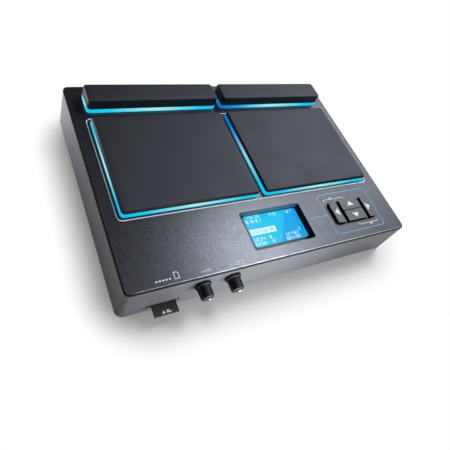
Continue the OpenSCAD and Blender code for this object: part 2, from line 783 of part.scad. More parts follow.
module display_ribbon() {
    plug_top_z = display_board_z;
    color("#b9bbc0") translate([display_x, 0, 0]) {
        translate([-plug_w / 2, ribbon_front_y - plug_d / 2, plug_top_z - plug_h])
            cube([plug_w, plug_d, plug_h]);
        translate([-plug_w / 2, ribbon_plug_y - plug_d / 2, main_top_z])
            cube([plug_w, plug_d, plug_h + ribbon_t]);
        translate([-ribbon_w / 2, ribbon_front_y - ribbon_t / 2, floor_t])
            cube([ribbon_w, ribbon_t, plug_top_z - plug_h + over - floor_t]);
        translate([-ribbon_w / 2, ribbon_front_y - ribbon_t / 2, floor_t])
            cube([ribbon_w, ribbon_rise_y - ribbon_front_y + ribbon_t, ribbon_t]);
        translate([-ribbon_w / 2, ribbon_rise_y - ribbon_t / 2, floor_t])
            cube([ribbon_w, ribbon_t, ribbon_top_z - floor_t]);
        translate([-ribbon_w / 2, ribbon_rise_y - ribbon_t / 2, ribbon_top_z - ribbon_t])
            cube([ribbon_w, ribbon_plug_y - ribbon_rise_y + ribbon_t, ribbon_t]);
    }
}

// Buttons: cap, retaining lip under the panel, and stem into the switch
module button_stem() {
    stem_z = button_board_z + board_t + switch_h - stem_grip;
    translate([0, 0, stem_z]) cylinder(h = button_lip_z - stem_z + button_lip_t, r = stem_r);
}

module side_button(side) {
    color("#6c6e74") translate([buttons_x + side * side_button_x, zone_y, 0]) {
        translate([0, 0, button_lip_z]) linear_extrude(panel_z + button_rise - button_lip_z)
            mirror([side > 0 ? 1 : 0, 0]) half_round_rect(side_button_w, buttons_d, side_button_r);
        translate([0, 0, button_lip_z]) linear_extrude(button_lip_t)
            square([side_lip_w, button_board_d], center = true);
        button_stem();
    }
}

module mid_button(side) {
    lip_w = mid_button_w + 2 * button_gap + 2 * button_lip;
    lip_d = mid_button_d + button_gap + button_lip;
    color("#6c6e74") translate([buttons_x, zone_y + side * mid_button_y, 0]) {
        translate([0, 0, button_lip_z]) linear_extrude(panel_z + button_rise - button_lip_z)
            round_rect(mid_button_w, mid_button_d, mid_button_r);
        translate([-lip_w / 2, side > 0 ? -mid_button_d / 2 : mid_button_d / 2 - lip_d, button_lip_z])
            cube([lip_w, lip_d, button_lip_t]);
        button_stem();
    }
}

module left_button() { side_button(-1); }
module right_button() { side_button(1); }
module up_button() { mid_button(1); }
module down_button() { mid_button(-1); }

module button_board() {
    color("#1e5b3a") drilled_board(
        buttons_x, zone_y, button_board_z, button_board_w, button_board_d, button_screws_at);
}

module tact_switches() {
    places = [[-side_button_x, 0], [side_button_x, 0], [0, mid_button_y], [0, -mid_button_y]];
    color("#3a3a3e") for (at = places)
        translate([buttons_x + at[0], zone_y + at[1], button_board_z + board_t]) difference() {
            translate([-switch_w / 2, -switch_w / 2, 0]) cube([switch_w, switch_w, switch_h]);
            translate([0, 0, switch_h - stem_grip - button_travel - run_gap])
                cylinder(h = switch_h, r = stem_r + shaft_gap);
        }
}

// Rotary controls
module knob(x) {
    r = knob_d / 2;
    tip_r = r - knob_lean;
    flange_r = knob_flange_d / 2;
    color("#1d1d20") translate([x, knob_y, knob_z]) rotate([90, 0, 0]) difference() {
        rotate_extrude() polygon([
            [0, 0], [flange_r, 0], [flange_r, knob_flange_t - knob_edge],
            [flange_r - knob_edge, knob_flange_t], [r, knob_flange_t], [tip_r, knob_l - knob_edge],
            [tip_r - knob_edge, knob_l], [0, knob_l]]);
        translate([0, 0, -over]) cylinder(h = knob_recess_t + over, r = knob_recess_r);
        translate([0, 0, -over]) cylinder(h = knob_y - shaft_tip_y + over, r = shaft_d / 2 + shaft_gap);
    }
}

module shaft(x) {
    color("#a7a9ad") rod_y(x, shaft_tip_y, knob_z, shaft_d / 2, shaft_end_y - shaft_tip_y);
}

module control(x) {
    color("#7c7e83") difference() {
        union() {
            block_y(x, front_y, knob_z, control_w, control_d, control_h);
            rod_y(x, bush_tip_y, knob_z, bush_r, front_y - bush_tip_y + over);
        }
        rod_y(x, bush_tip_y - over, knob_z, shaft_d / 2 + shaft_gap,
            shaft_end_y - bush_tip_y + over + fit_gap);
    }
}

module volume_knob() { knob(knob_xs[0]); }
module volume_shaft() { shaft(knob_xs[0]); }
module volume_control() { control(knob_xs[0]); }
module phones_knob() { knob(knob_xs[1]); }
module phones_shaft() { shaft(knob_xs[1]); }
module phones_control() { control(knob_xs[1]); }

module control_nuts() {
    color("#8d8f94") for (x = knob_xs) nut_y(x, control_spot_y - nut_t, knob_z, control_nut_r, bush_r);
}

module control_board() {
    middle_x = (knob_xs[0] + knob_xs[1]) / 2;
    color("#1e5b3a")
        block_y(middle_x, front_y + control_d, knob_z, control_board_w, board_t, control_board_h);
}

// Memory card and its socket
module memory_card() {
    cut = card_corner;
    color("#17171a") translate([card_x - card_w / 2, card_y, card_z - card_t / 2]) linear_extrude(card_t)
        polygon([[0, 0], [card_w, 0], [card_w, card_l - cut], [card_w - cut, card_l], [0, card_l]]);
}

module card_socket() {
    socket_l = socket_end_y - front_y - fit_gap;
    hollow_w = card_w + 2 * run_gap;
    hollow_h = card_t + 2 * run_gap;
    color("#b4b6ba") difference() {
        block_y(card_x, front_y + fit_gap, card_z, socket_w, socket_l, socket_h);
        block_y(card_x, front_y - over, card_z, hollow_w,
            socket_l + fit_gap + over - socket_stop, hollow_h);
    }
}

module card_board() {
    color("#1e5b3a") drilled_board(card_x, card_board_y + card_board_d / 2, card_board_z,
        card_board_w, card_board_d, card_screws_at);
}

// Main board and the rear sockets
module main_board() {
    w = main_right_x - main_left_x;
    color("#1e5b3a") {
        drilled_board(main_left_x + w / 2, main_front_y + main_board_d / 2, main_board_z,
            w, main_board_d, main_screws_at);
        for (i = [1, 2]) translate([main_right_x - 2 * i * chip_w, main_front_y + chip_w / 2, main_board_z])
            cube([chip_w, chip_w, board_t + chip_t]);
    }
}

module jack(x) {
    color("#27272a") difference() {
        union() {
            block_y(x, rear_y - jack_l, jack_z, jack_w, jack_l, jack_h);
            rod_y(x, rear_y - over, jack_z, jack_nose_r, jack_tip_y - rear_y + over);
        }
        rod_y(x, rear_y - jack_l + jack_end_t, jack_z, jack_bore_d / 2, jack_tip_y - rear_y + jack_l);
    }
}

module trigger_jack() { jack(trigger_x); }
module phones_jack() { jack(phones_x); }
module right_output_jack() { jack(right_out_x); }
module left_output_jack() { jack(left_out_x); }

module jack_nuts() {
    color("#8d8f94") for (x = jack_xs)
        nut_y(x, jack_spot_y, jack_z, jack_nut_r, jack_nose_r);
}

module din_socket() {
    tip_y = wall_out(din_z + din_nose_r) - fit_gap;
    color("#27272a") difference() {
        union() {
            block_y(din_x, rear_y - din_l, din_z, din_w, din_l, din_w);
            rod_y(din_x, rear_y - over, din_z, din_nose_r, tip_y - rear_y + over);
        }
        rod_y(din_x, tip_y - din_depth, din_z, din_bore_d / 2, din_depth + over);
        for (k = [0 : din_contacts - 1]) {
            turn = k * din_step;
            rod_y(din_x + din_circle_r * cos(turn), tip_y - din_depth - din_contact_l,
                din_z + din_circle_r * sin(turn), din_contact_r, din_contact_l + over);
        }
    }
}

module power_inlet() {
    tip_y = wall_out(inlet_z + inlet_h / 2) - fit_gap;
    color("#27272a") {
        difference() {
            block_y(inlet_x, rear_y - inlet_l, inlet_z, inlet_w, inlet_l + tip_y - rear_y, inlet_h);
            rod_y(inlet_x, tip_y - inlet_depth, inlet_z, inlet_bore_d / 2, inlet_depth + over);
        }
        rod_y(inlet_x, tip_y - inlet_depth - over, inlet_z, inlet_pin_r, inlet_depth);
    }
}

module power_switch() {
    color("#3a3a3e") difference() {
        block_y(power_x, switch_body_y - switch_body_l, power_z,
            switch_body_w, switch_body_l, switch_body_h);
        block_y(power_x, switch_body_y - 3 * power_travel, power_z, power_stem + 2 * run_gap,
            3 * power_travel + over, power_stem + 2 * run_gap);
    }
}

module power_button() {
    tip_y = wall_out(power_z) + power_out;
    color("#1d1d20") {
        block_y(power_x, power_collar_y, power_z, power_w, tip_y - power_collar_y, power_h);
        block_y(power_x, power_collar_y, power_z, power_w + 2 * power_collar, power_collar,
            power_h + 2 * power_collar);
        block_y(power_x, switch_body_y - power_travel, power_z, power_stem,
            power_collar_y - switch_body_y + power_travel + power_collar, power_stem);
    }
}

lower_case();
top_panel();
rubber_feet();
case_screws();
stand_inserts();
board_screws();
left_pad_rubber();
left_pad_plate();
left_pad_sensor();
left_pad_cushion();
left_pad_ring();
right_pad_rubber();
right_pad_plate();
right_pad_sensor();
right_pad_cushion();
right_pad_ring();
left_bar_rubber();
left_bar_plate();
left_bar_sensor();
left_bar_cushion();
left_bar_ring();
right_bar_rubber();
right_bar_plate();
right_bar_sensor();
right_bar_cushion();
right_bar_ring();
led_tapes();
display_cover();
display_glass();
display_board();
display_ribbon();
left_button();
up_button();
down_button();
right_button();
button_board();
tact_switches();
volume_knob();
volume_shaft();
volume_control();
phones_knob();
phones_shaft();
phones_control();
control_nuts();
control_board();
memory_card();
card_socket();
card_board();
main_board();
left_output_jack();
right_output_jack();
phones_jack();
trigger_jack();
jack_nuts();
din_socket();
power_inlet();
power_switch();
power_button();
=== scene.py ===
"""Electronic percussion pad: finishes, soft pieces, display, prints, light and camera."""
import json
import math

import bmesh
import bpy
from mathutils import Matrix, Vector


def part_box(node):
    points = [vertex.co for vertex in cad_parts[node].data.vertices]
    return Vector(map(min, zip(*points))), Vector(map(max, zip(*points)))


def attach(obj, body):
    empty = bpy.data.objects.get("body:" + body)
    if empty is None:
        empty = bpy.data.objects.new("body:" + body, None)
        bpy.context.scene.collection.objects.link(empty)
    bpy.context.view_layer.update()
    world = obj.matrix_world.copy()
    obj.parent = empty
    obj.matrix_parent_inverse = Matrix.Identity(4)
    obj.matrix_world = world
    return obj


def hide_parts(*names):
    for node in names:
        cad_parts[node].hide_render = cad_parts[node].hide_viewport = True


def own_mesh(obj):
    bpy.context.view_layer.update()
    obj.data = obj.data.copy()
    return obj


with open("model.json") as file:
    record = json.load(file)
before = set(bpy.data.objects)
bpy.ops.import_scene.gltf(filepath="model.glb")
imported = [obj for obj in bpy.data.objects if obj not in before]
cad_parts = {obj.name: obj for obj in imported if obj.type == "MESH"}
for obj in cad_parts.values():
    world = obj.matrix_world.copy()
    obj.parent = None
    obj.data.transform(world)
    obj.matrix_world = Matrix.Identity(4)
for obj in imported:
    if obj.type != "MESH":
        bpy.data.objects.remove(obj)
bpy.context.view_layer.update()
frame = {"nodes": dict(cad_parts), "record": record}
nodes = frame["nodes"]

MM = 0.001

# Camera fitted to the edges of the case in the photograph
CAMERA_AT = Vector((-0.2508, -0.2275, 0.3628))
CAMERA_AIM = Vector((-0.0599, -0.0569, 0.0470))
CAMERA_ROLL = math.radians(31.33)
CAMERA_LENS = 32.9
CAMERA_SHIFT = (0.0200, -0.0294)
CAMERA_NEAR = 0.01

# Names and sizes that several pieces share
PADS = ("left_pad", "right_pad", "left_bar", "right_bar")
KNOBS = ("volume_knob", "phones_knob")
BUTTON_TURNS = {"left_button": 180, "up_button": 90, "down_button": -90, "right_button": 0}
PANEL_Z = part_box("top_panel")[1].z
PANEL_R = 6 * MM
INK_T = 0.05 * MM


def linear(r, g, b):
    """Scene-linear colour, with alpha, of an sRGB colour given as 0 to 255."""
    def one(value):
        c = value / 255
        return c / 12.92 if c <= 0.04045 else ((c + 0.055) / 1.055) ** 2.4
    return (one(r), one(g), one(b), 1.0)


def darkened(colour, level):
    """A colour times a level, with its alpha left at one."""
    return tuple(level * c for c in colour[:3]) + (1.0,)


def middle(name):
    """Middle of a node's box, as x, y."""
    low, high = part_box(name)
    return (low.x + high.x) / 2, (low.y + high.y) / 2


# Node helpers

class Nodes:
    """Short calls to add the nodes of a tree and link them."""

    def __init__(self, tree):
        self.tree = tree

    def add(self, kind, **values):
        """A new node with the given settings."""
        node = self.tree.nodes.new(kind)
        for key, value in values.items():
            setattr(node, key, value)
        return node

    def link(self, source, target):
        """Links an output to an input."""
        self.tree.links.new(source, target)

    def feed(self, socket, value):
        """Sets an input to a number, colour or vector, or links an output to it."""
        if isinstance(value, (int, float, tuple)):
            socket.default_value = value
        else:
            self.link(value, socket)

    def math(self, operation, first, second=0.0):
        """Result of a math operation on one or two values."""
        node = self.add("ShaderNodeMath", operation=operation)
        self.feed(node.inputs[0], first)
        self.feed(node.inputs[1], second)
        return node.outputs["Value"]

    def vector(self, operation, first, second=(0.0, 0.0, 0.0)):
        """Result of a vector operation on one or two vectors."""
        node = self.add("ShaderNodeVectorMath", operation=operation)
        self.feed(node.inputs[0], first)
        self.feed(node.inputs[1], second)
        return node.outputs["Vector"]

    def span(self, value, low, high, to_low=0.0, to_high=1.0, **values):
        """Maps value from low..high to to_low..to_high, clamped."""
        node = self.add("ShaderNodeMapRange", **values)
        limits = {"From Min": low, "From Max": high, "To Min": to_low, "To Max": to_high}
        for key, number in limits.items():
            node.inputs[key].default_value = number
        self.link(value, node.inputs["Value"])
        return node.outputs["Result"]

    def past_box(self, place, half):
        """How far a place lies past a box of half sizes about the origin."""
        past = self.vector("SUBTRACT", self.vector("ABSOLUTE", place), half)
        reach = self.add("ShaderNodeVectorMath", operation="LENGTH")
        self.link(self.vector("MAXIMUM", past), reach.inputs[0])
        return reach.outputs["Value"]


class Shader(Nodes):
    """A material with one Principled shader, and short calls to add nodes to it."""

    def __init__(self, name, roughness=0.5, metallic=0.0, specular=0.5):
        self.mat = bpy.data.materials.new(name)
        self.mat.use_nodes = True
        super().__init__(self.mat.node_tree)
        self.bsdf = self.tree.nodes["Principled BSDF"]
        self.bsdf.inputs["Roughness"].default_value = roughness
        self.bsdf.inputs["Metallic"].default_value = metallic
        self.bsdf.inputs["Specular IOR Level"].default_value = specular
        self.coords = self.add("ShaderNodeTexCoord").outputs["Object"]

    def noise(self, size, detail=3.0, rough=0.55):
        """Noise whose features are about size metres across."""
        node = self.add("ShaderNodeTexNoise")
        node.inputs["Scale"].default_value = 1 / size
        node.inputs["Detail"].default_value = detail
        node.inputs["Roughness"].default_value = rough
        self.link(self.coords, node.inputs["Vector"])
        return node.outputs["Fac"]

    def spread(self, noise, to_low=0.0, to_high=1.0):
        """Spreads the range that most of a noise lies in over to_low..to_high."""
        return self.span(noise, 0.3, 0.7, to_low, to_high)

    def cells(self, size):
        """One random value for each cell, about size metres across."""
        node = self.add("ShaderNodeTexVoronoi")
        node.inputs["Scale"].default_value = 1 / size
        self.link(self.coords, node.inputs["Vector"])
        return self.axis(0, node.outputs["Color"])

    def bricks(self, size, mortar, **values):
        """Brick pattern at a scale of one over size, with lines of mortar."""
        node = self.add("ShaderNodeTexBrick", **values)
        node.inputs["Scale"].default_value = 1 / size
        node.inputs["Mortar Size"].default_value = mortar
        self.link(self.coords, node.inputs["Vector"])
        return node

    def mix(self, factor, first, second):
        """Colour between first and second, each a colour or an output."""
        node = self.add("ShaderNodeMix", data_type="RGBA")
        self.link(factor, node.inputs["Factor"])
        for key, colour in (("A", first), ("B", second)):
            self.feed(next(s for s in node.inputs if s.name == key and s.type == "RGBA"), colour)
        return next(s for s in node.outputs if s.type == "RGBA")

    def axis(self, index, source=None):
        """One coordinate of a vector, or of the place in the object's own frame."""
        node = self.add("ShaderNodeSeparateXYZ")
        self.link(source or self.coords, node.inputs["Vector"])
        return node.outputs[index]

    def away(self, index, place=0.0):
        """Distance from a place along one axis of the object's own frame."""
        return self.math("ABSOLUTE", self.math("SUBTRACT", self.axis(index), place))

    def up(self):
        """How far the surface faces up, from -1 to 1."""
        return self.axis(2, self.add("ShaderNodeNewGeometry").outputs["True Normal"])

    def colour(self, value):
        """Sets the base colour."""
        self.feed(self.bsdf.inputs["Base Color"], value)

    def roughness(self, value):
        """Sets the roughness."""
        self.feed(self.bsdf.inputs["Roughness"], value)

    def bump(self, height, strength, distance):
        """Adds a fine relief."""
        node = self.add("ShaderNodeBump")
        node.inputs["Strength"].default_value = strength
        node.inputs["Distance"].default_value = distance
        self.link(height, node.inputs["Height"])
        self.link(node.outputs["Normal"], self.bsdf.inputs["Normal"])

    def glow(self, colour, strength):
        """Lets the surface shine by itself."""
        self.bsdf.inputs["Emission Strength"].default_value = strength
        self.feed(self.bsdf.inputs["Emission Color"], colour)


# Panel finish: places of the black rim painted as shade, the painted highlight along the front
# edge and the window's back wall painted pale as light

FACES_UP = (0.72, 0.95)
PAST_ANY_HEIGHT = 1.0
RIM_FADE = (0.6 * MM, 1.0 * MM)
RIM_AT_SIDES = 0.7 * MM
# The next two place the painted highlight along the panel's front edge.
GLINT_IN = 1.5 * MM
GLINT_FADE = (0.6 * MM, 0.2 * MM)
# The next three place the window's back wall, painted pale as light that falls on it.
WINDOW_IN = 3 * MM
WINDOW_HALF_W = (39 * MM, 38 * MM)
WINDOW_FADE = (1.2 * MM, 0.8 * MM)


def panel_edges(s, tone):
    """The panel's tone with walls and rim painted black as shade, a painted highlight along the
    front edge and the window's back wall painted pale as light.

    Also gives the share of the surface that keeps its flakes.
    """
    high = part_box("top_panel")[1]
    # Faces that don't face up, and a rim just inside the top's outer edge, are painted black:
    # painted shade in the seam and on the walls of the recesses.
    half = (high.x - PANEL_R - RIM_AT_SIDES, high.y - PANEL_R, PAST_ANY_HEIGHT)
    reach = s.past_box(s.coords, half)
    face = s.span(reach, PANEL_R - RIM_FADE[0], PANEL_R - RIM_FADE[1])
    flat = s.math("MULTIPLY", s.span(s.up(), *FACES_UP), face)
    # A narrow band along the front edge, broken up by noise, is a painted highlight: the glint of
    # the round edge.
    wear_and_glint = s.math("MULTIPLY", s.span(s.away(1, GLINT_IN - high.y), *GLINT_FADE),
                  s.span(s.away(0), high.x - PANEL_R, high.x - 2 * PANEL_R))
    wear_and_glint = s.math("MULTIPLY", wear_and_glint, s.span(s.noise(8 * MM), 0.3, 0.6, 0.25, 0.8))
    # The window's back wall is painted pale grey as light that falls on it.
    window_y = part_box("display_glass")[1].y - WINDOW_IN
    window = s.math("MULTIPLY", s.span(s.away(0, middle("display_glass")[0]), *WINDOW_HALF_W),
                    s.span(s.away(1, window_y), *WINDOW_FADE))
    # The near black is painted shade on the walls and rim; the pale grey is painted light on the
    # window's back wall.
    walls = s.mix(window, linear(8, 8, 10), linear(190, 191, 196))
    # The pale grey on the front edge is the painted highlight.
    return s.mix(flat, walls, s.mix(wear_and_glint, tone, linear(176, 178, 184))), flat


# Materials

def flake_paint(name, dark, light, flakes, size, least, roughness, specular, edges=None):
    """Paint with metal flakes in the cells whose value is above least.

    A function given as edges changes the tone along the edges.
    """
    s = Shader(name, roughness=roughness, specular=specular)
    grain = s.noise(0.7 * MM, rough=0.6)
    metal = s.span(s.cells(size), least, least + 0.5)
    tone = s.mix(metal, s.mix(s.spread(grain), dark, light), flakes)
    shine = s.spread(grain, roughness - 0.03, roughness + 0.03)
    if edges:
        tone, kept = edges(s, tone)
        shine = s.math("MAXIMUM", shine, s.span(kept, 0.0, 1.0, 0.9, 0.0))
        metal = s.math("MULTIPLY", metal, kept)
    s.colour(tone)
    s.roughness(shine)
    s.link(metal, s.bsdf.inputs["Metallic"])
    s.bump(s.noise(0.5 * MM, detail=2.0), strength=0.1, distance=0.05 * MM)
    return s.mat


def moulded_rubber(name, dark, light):
    """Matt rubber with a fine pebble grain and slightly polished patches."""
    s = Shader(name, roughness=0.6, specular=0.56)
    s.bsdf.inputs["Specular Tint"].default_value = (0.82, 0.86, 1.0, 1.0)
    cloud = s.noise(40 * MM, detail=2.0)
    pebble = s.noise(0.9 * MM, rough=0.7)
    shade = s.math("ADD", s.spread(cloud, 0.0, 0.2), s.spread(pebble, 0.0, 0.8))
    s.colour(s.mix(shade, dark, light))
    s.roughness(s.math("ADD", s.spread(cloud, 0.55, 0.6), s.spread(pebble, 0.0, 0.06)))
    s.bump(pebble, strength=0.7, distance=0.12 * MM)
    return s.mat


def satin_plastic(name, colour, roughness, specular=0.5):
    """Moulded plastic with a faint mottle, spark texture and worn gloss."""
    s = Shader(name, roughness=roughness, specular=specular)
    mottle = s.noise(6 * MM)
    s.colour(s.mix(s.spread(mottle), darkened(colour, 0.8), colour))
    s.roughness(s.spread(mottle, roughness - 0.07, roughness + 0.07))
    s.bump(s.noise(0.35 * MM, detail=2.0), strength=0.15, distance=0.03 * MM)
    return s.mat


def button_plastic(name):
    """Grey cap whose sides are painted near black as shade, with the panel's fleck on the top."""
    s = Shader(name, roughness=0.42, specular=0.55)
    grain = s.noise(0.9 * MM, rough=0.65)
    cap = s.mix(s.span(grain, 0.35, 0.68), linear(40, 42, 47), linear(64, 66, 73))
    # Faces that don't face up are painted near black as shade.
    s.colour(s.mix(s.span(s.up(), 0.35, 0.8), linear(14, 14, 16), cap))
    s.roughness(s.spread(grain, 0.36, 0.5))
    s.bump(s.noise(0.4 * MM, detail=2.0), strength=0.12, distance=0.04 * MM)
    return s.mat


def plated_metal(name, colour, roughness):
    """Metal with fine turning marks and dull spots."""
    s = Shader(name, roughness=roughness, metallic=1.0)
    spots = s.noise(2.5 * MM, detail=4.0)
    s.colour(s.mix(s.span(spots, 0.35, 0.7), darkened(colour, 0.7), colour))
    s.roughness(s.spread(spots, roughness - 0.08, roughness + 0.12))
    s.bump(s.noise(0.2 * MM, detail=1.0), strength=0.1, distance=0.02 * MM)
    return s.mat


def circuit_board(name):
    """Solder mask over copper tracks."""
    s = Shader(name, roughness=0.35)
    tracks = s.bricks(12 * MM, mortar=0.03)
    tracks.inputs["Color1"].default_value = linear(22, 84, 52)
    tracks.inputs["Color2"].default_value = linear(26, 92, 58)
    tracks.inputs["Mortar"].default_value = linear(60, 128, 78)
    stain = s.span(s.noise(3 * MM), 0.4, 0.7, 0.0, 0.4)
    s.colour(s.mix(stain, tracks.outputs["Color"], linear(14, 60, 38)))
    s.bump(tracks.outputs["Fac"], strength=0.2, distance=0.04 * MM)
    return s.mat


def foam(name):
    """Open-cell foam."""
    s = Shader(name, roughness=0.95, specular=0.2)
    cell = s.noise(0.8 * MM, detail=4.0, rough=0.7)
    s.colour(s.mix(s.span(cell, 0.35, 0.65), linear(18, 18, 20), linear(58, 58, 62)))
    s.bump(cell, strength=0.8, distance=0.3 * MM)
    return s.mat


# Light rings: heights of the lit core, shares of a side that are pale, and the blue by the gap
RING_CORE = (0.2 * MM, 1.8 * MM)
RING_PALE = (0.7, 0.05)
RING_SLIM = 20 * MM
RING_BLUE_END = 6 * MM
BAR_BLUE_REACH = 58 * MM
PAD_BLUE_REACH = 24 * MM


def light_ring(name, low, high):
    """Translucent ring lit from inside: pale amid each side, bluer by the gap between the pads."""
    s = Shader(name, roughness=0.45, specular=0.3)
    core = s.span(s.axis(2), PANEL_Z + RING_CORE[0], PANEL_Z + RING_CORE[1], 0.35, 1.0)
    centre = (low + high) / 2
    half = (high - low) / 2
    pale = 0.0
    for index in (0, 1):
        near = s.span(s.away(index, centre[index]), *(share * half[index] for share in RING_PALE))
        pale = s.math("ADD", pale, near)
    lively = s.mix(s.span(s.noise(9 * MM), 0.35, 0.65), linear(14, 190, 232), linear(28, 208, 242))
    lit = s.mix(s.math("MULTIPLY", core, pale), lively, linear(168, 240, 240))
    if low.x > 0:
        slim = half.y < RING_SLIM
        start = low.x + (BAR_BLUE_REACH if slim else PAD_BLUE_REACH)
        bluer = s.span(s.axis(0), start, low.x + RING_BLUE_END, 0.0, 0.95)
        if not slim:
            back = s.span(s.axis(1), centre.y - 0.3 * half.y, centre.y + 0.7 * half.y, 0.15, 1.0)
            bluer = s.math("MULTIPLY", bluer, back)
        lit = s.mix(bluer, lit, linear(12, 112, 192))
    s.colour(linear(16, 84, 108))
    s.glow(lit, 0.95)
    return s.mat


# Display light: slope and place of the edge between its two blues, and the pixels' pitch
SPLIT_SLOPE = -0.63
SPLIT_AT = (66.9 * MM, 67.5 * MM)
PIXEL = 0.6 * MM


def display_light(name):
    """Back-lit liquid crystal: two blues with a slanting edge, and a fine pixel grid."""
    s = Shader(name, roughness=0.6, specular=0.05)
    lean = s.math("ADD", s.axis(0), s.math("MULTIPLY", s.axis(1), SPLIT_SLOPE))
    two = s.mix(s.span(lean, *SPLIT_AT), linear(22, 206, 252), linear(22, 172, 246))
    pixels = s.bricks(PIXEL, mortar=0.06, offset=0.0)
    pixels.inputs["Brick Width"].default_value = 1.0
    pixels.inputs["Row Height"].default_value = 1.0
    grid = s.mix(s.span(pixels.outputs["Fac"], 0.0, 1.0, 0.0, 0.12), two, linear(10, 90, 170))
    s.colour(linear(12, 60, 90))
    s.glow(s.mix(s.spread(s.noise(14 * MM), 0.0, 0.12), grid, linear(70, 220, 250)), 0.95)
    return s.mat


def clear_cover(name):
    """Clear cover: mostly seen through, with a faint uneven gloss."""
    s = Shader(name, roughness=0.15, specular=0.3)
    s.bsdf.inputs["Alpha"].default_value = 0.06
    dust = s.noise(5 * MM, detail=4.0)
    s.colour(s.mix(s.span(dust, 0.4, 0.8), linear(20, 40, 52), linear(60, 90, 104)))
    s.roughness(s.span(dust, 0.4, 0.8, 0.1, 0.2))
    return s.mat


def ink(name, colour, lit=0.0):
    """Printed ink, slightly uneven, or a lit mark where lit is above zero."""
    s = Shader(name, roughness=0.5)
    wear_and_glint = s.noise(0.8 * MM)
    tone = s.mix(s.span(wear_and_glint, 0.3, 0.6), darkened(colour, 0.85), colour)
    s.colour(tone)
    s.roughness(s.spread(wear_and_glint, 0.42, 0.6))
    if lit:
        s.glow(tone, lit)
    return s.mat


case_finish = flake_paint(
    "case_finish", dark=linear(80, 81, 85), light=linear(102, 104, 109),
    flakes=linear(130, 132, 139), size=0.42 * MM, least=0.65, roughness=0.42, specular=0.15)
panel_finish = flake_paint(
    "panel_finish", dark=linear(13, 14, 17), light=linear(25, 26, 31),
    flakes=linear(102, 105, 114), size=0.22 * MM, least=0.45, roughness=0.30, specular=0.35,
    edges=panel_edges)
pad_finish = moulded_rubber("pad_finish", linear(7, 7, 10), linear(28, 29, 36))
foot_finish = moulded_rubber("foot_finish", linear(20, 20, 22), linear(34, 34, 37))
knob_finish = satin_plastic("knob_finish", linear(14, 14, 19), 0.5, specular=0.28)
card_finish = satin_plastic("card_finish", linear(22, 22, 25), 0.42)
socket_finish = satin_plastic("socket_finish", linear(30, 30, 33), 0.45)
button_finish = button_plastic("button_finish")
screw_finish = plated_metal("screw_finish", linear(52, 52, 56), 0.42)
zinc_finish = plated_metal("zinc_finish", linear(176, 178, 184), 0.34)
steel_finish = plated_metal("steel_finish", linear(168, 170, 176), 0.38)
brass_finish = plated_metal("brass_finish", linear(204, 164, 92), 0.3)
board_finish = circuit_board("board_finish")
tape_finish = satin_plastic("tape_finish", linear(226, 224, 210), 0.4)
ribbon_finish = satin_plastic("ribbon_finish", linear(176, 178, 184), 0.5)
foam_finish = foam("foam_finish")
cover_finish = clear_cover("cover_finish")
display_finish = display_light("display_finish")
white_ink = ink("white_ink", linear(250, 250, 252))
blue_ink = ink("blue_ink", linear(124, 190, 232))
display_pale = ink("display_pale", linear(196, 240, 244), lit=0.75)
mask_ink = ink("mask_ink", linear(12, 12, 14))
display_dark = ink("display_dark", linear(16, 92, 176), lit=0.5)

FINISHES = {
    "case_plastic": case_finish,
    "panel_plastic": panel_finish,
    "foot_rubber": foot_finish,
    "black_screw": screw_finish,
    "brass_insert": brass_finish,
    "zinc": zinc_finish,
    "pad_rubber": pad_finish,
    "strike_steel": steel_finish,
    "sensor_brass": brass_finish,
    "foam": foam_finish,
    "led_tape": tape_finish,
    "display_cover": cover_finish,
    "display_glass": display_finish,
    "circuit_board": board_finish,
    "ribbon": ribbon_finish,
    "button_plastic": button_finish,
    "socket_plastic": socket_finish,
    "knob_plastic": knob_finish,
    "shaft_metal": zinc_finish,
    "card_plastic": card_finish,
}


def dress_cad():
    """Gives each CAD node the finish of its slot, and each light ring one for its own place."""
    for row in frame["record"]["subparts"]:
        node = nodes[row["node"]]
        if row["material_slot"] == "light_ring":
            low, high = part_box(row["node"])
            finish = light_ring(row["node"] + "_glow", low, high)
        else:
            finish = FINISHES[row["material_slot"]]
        node.data.materials.clear()
        node.data.materials.append(finish)


# Bevels on CAD nodes

WELD_REACH = 0.001 * MM
FLAT_ANGLE = math.radians(0.5)
BEVEL_ANGLE = math.radians(40)


def soften(names, width, segments):
    """Rounds the sharp edges of rigid CAD nodes by a small bevel."""
    for name in names:
        node = nodes[name]
        weld = node.modifiers.new("weld", "WELD")
        weld.merge_threshold = WELD_REACH
        flat = node.modifiers.new("flat", "DECIMATE")
        flat.decimate_type = "DISSOLVE"
        flat.angle_limit = FLAT_ANGLE
        bevel = node.modifiers.new("bevel", "BEVEL")
        bevel.width = width
        bevel.segments = segments
        bevel.limit_method = "ANGLE"
        bevel.angle_limit = BEVEL_ANGLE
        bevel.harden_normals = True


# Mesh helpers

SHARP_ANGLE = math.radians(38)
CORNER_STEPS = 8
LEAST_MITRE = 0.5


def add_object(name, bm):
    """Turns a bmesh into an object of the scene, with its faces outwards."""
    bmesh.ops.recalc_face_normals(bm, faces=bm.faces)
    mesh = bpy.data.meshes.new(name)
    bm.to_mesh(mesh)
    bm.free()
    piece = bpy.data.objects.new(name, mesh)
    bpy.context.scene.collection.objects.link(piece)
    return piece


def new_piece(name, bm, finish, body):
    """Makes a piece with smooth faces and sharp corners that rides on a body."""
    piece = add_object(name, bm)
    for face in piece.data.polygons:
        face.use_smooth = True
    piece.data.set_sharp_from_angle(angle=SHARP_ANGLE)
    piece.data.materials.append(finish)
    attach(piece, body)
    return piece


